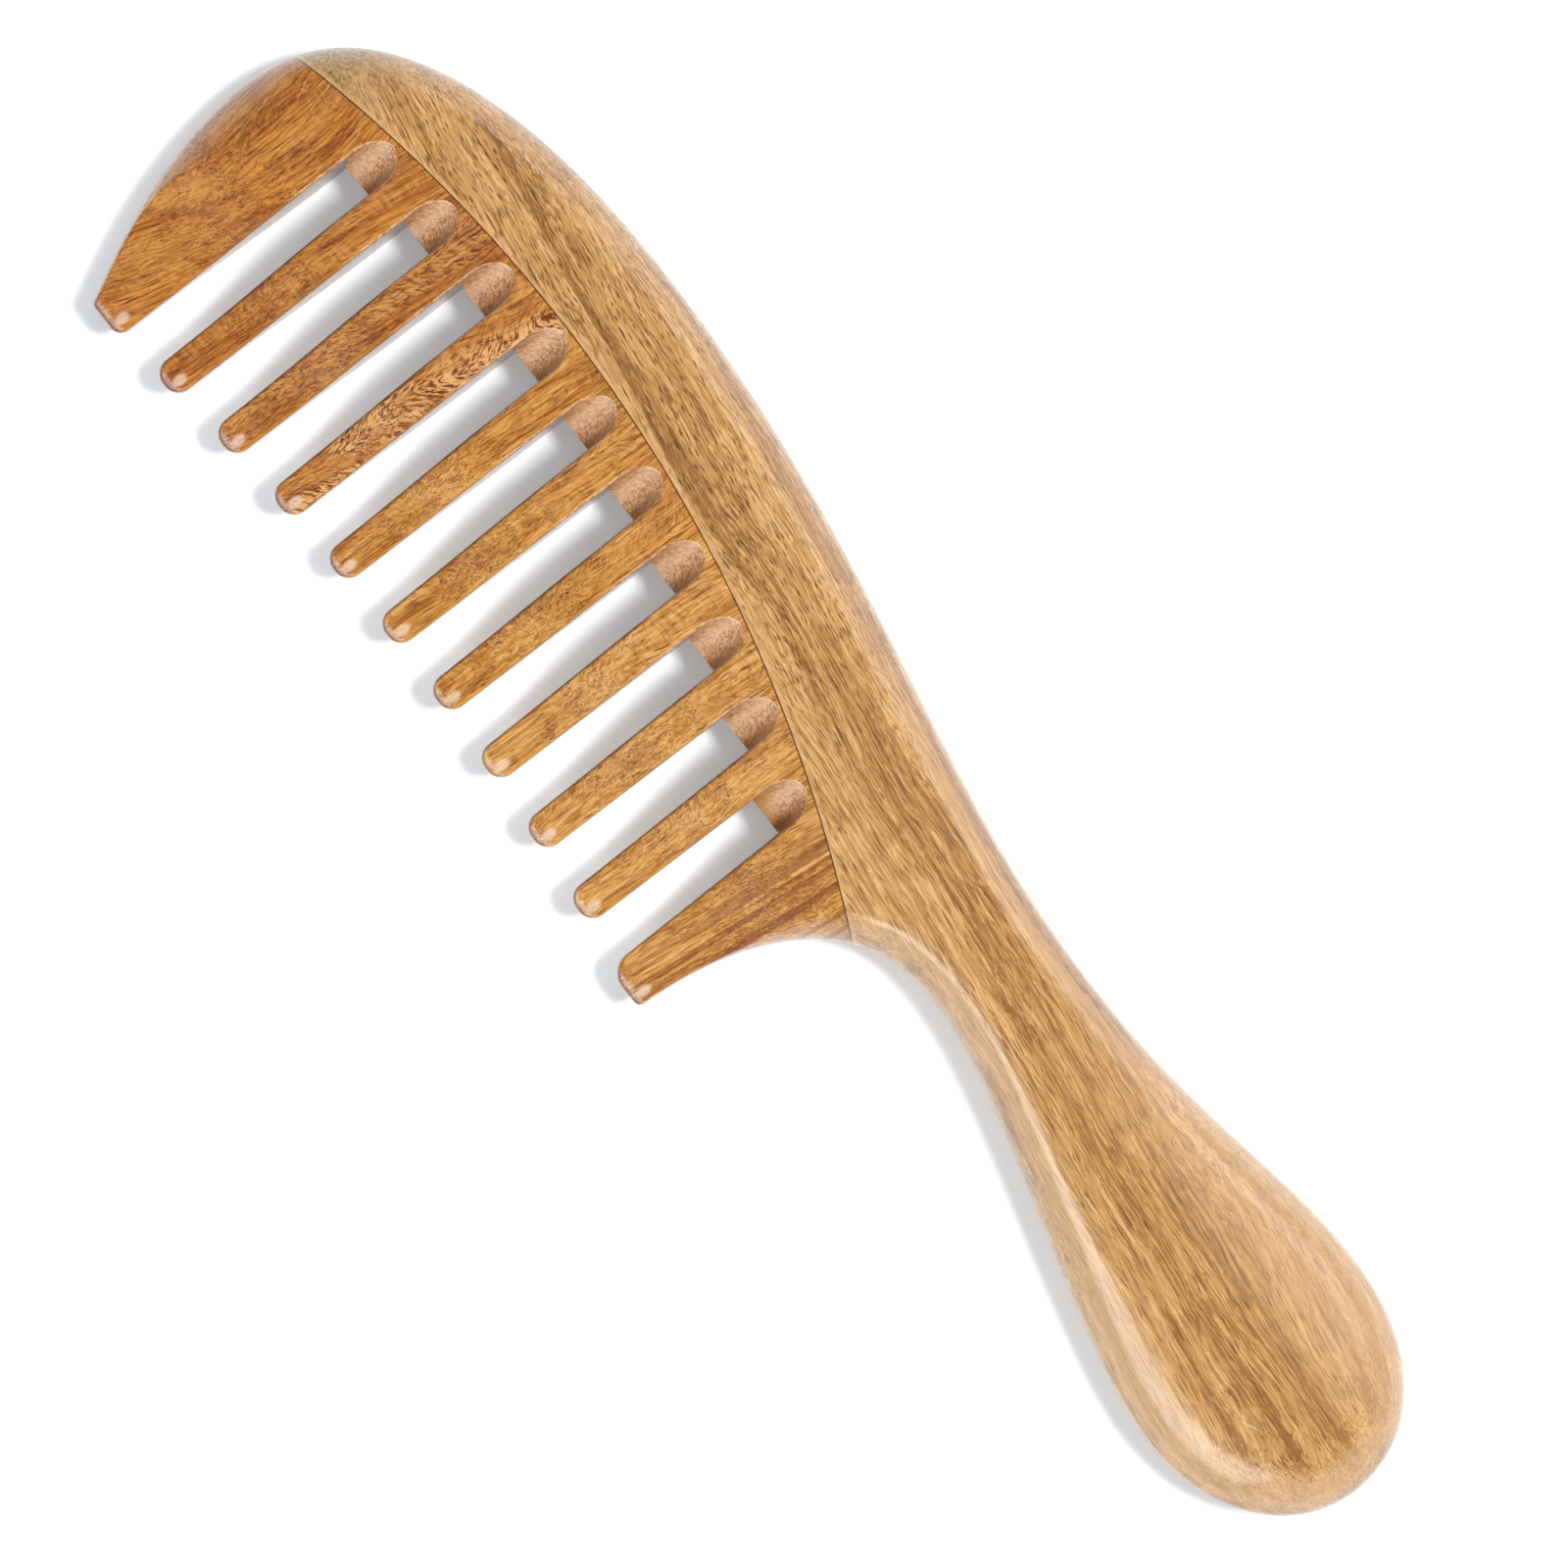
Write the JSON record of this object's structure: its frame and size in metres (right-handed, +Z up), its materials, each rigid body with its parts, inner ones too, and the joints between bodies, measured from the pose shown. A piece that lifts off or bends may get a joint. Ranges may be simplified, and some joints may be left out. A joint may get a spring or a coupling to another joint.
{
  "type": "wide tooth comb",
  "caption": "Wooden wide tooth comb: a curved spine running into a bulb-ended handle, with separately glued tapering teeth between two guard teeth.",
  "frame": {"origin": "centre of the comb's bounding box on the lower flat face, with the comb lying flat", "axes": "+X runs along the comb to the end of the handle, +Y from the tooth tips to the back of the spine, +Z up through the thickness"},
  "size_m": [0.2, 0.0528, 0.012],
  "materials": {
    "spine_wood": "pale golden hardwood, fine brown pores along the comb, polished and waxed to a soft satin",
    "tooth_wood": "orange-brown interlocked hardwood with mottled figure along each tooth, polished and waxed"
  },
  "bodies": {
    "root": {"spine_handle": "spine_wood", "guard_tooth_front": "tooth_wood", "tooth_02": "tooth_wood", "tooth_03": "tooth_wood", "tooth_04": "tooth_wood", "tooth_05": "tooth_wood", "tooth_06": "tooth_wood", "tooth_07": "tooth_wood", "tooth_08": "tooth_wood", "tooth_09": "tooth_wood", "tooth_10": "tooth_wood", "guard_tooth_heel": "tooth_wood"}
  },
  "joints": []
}
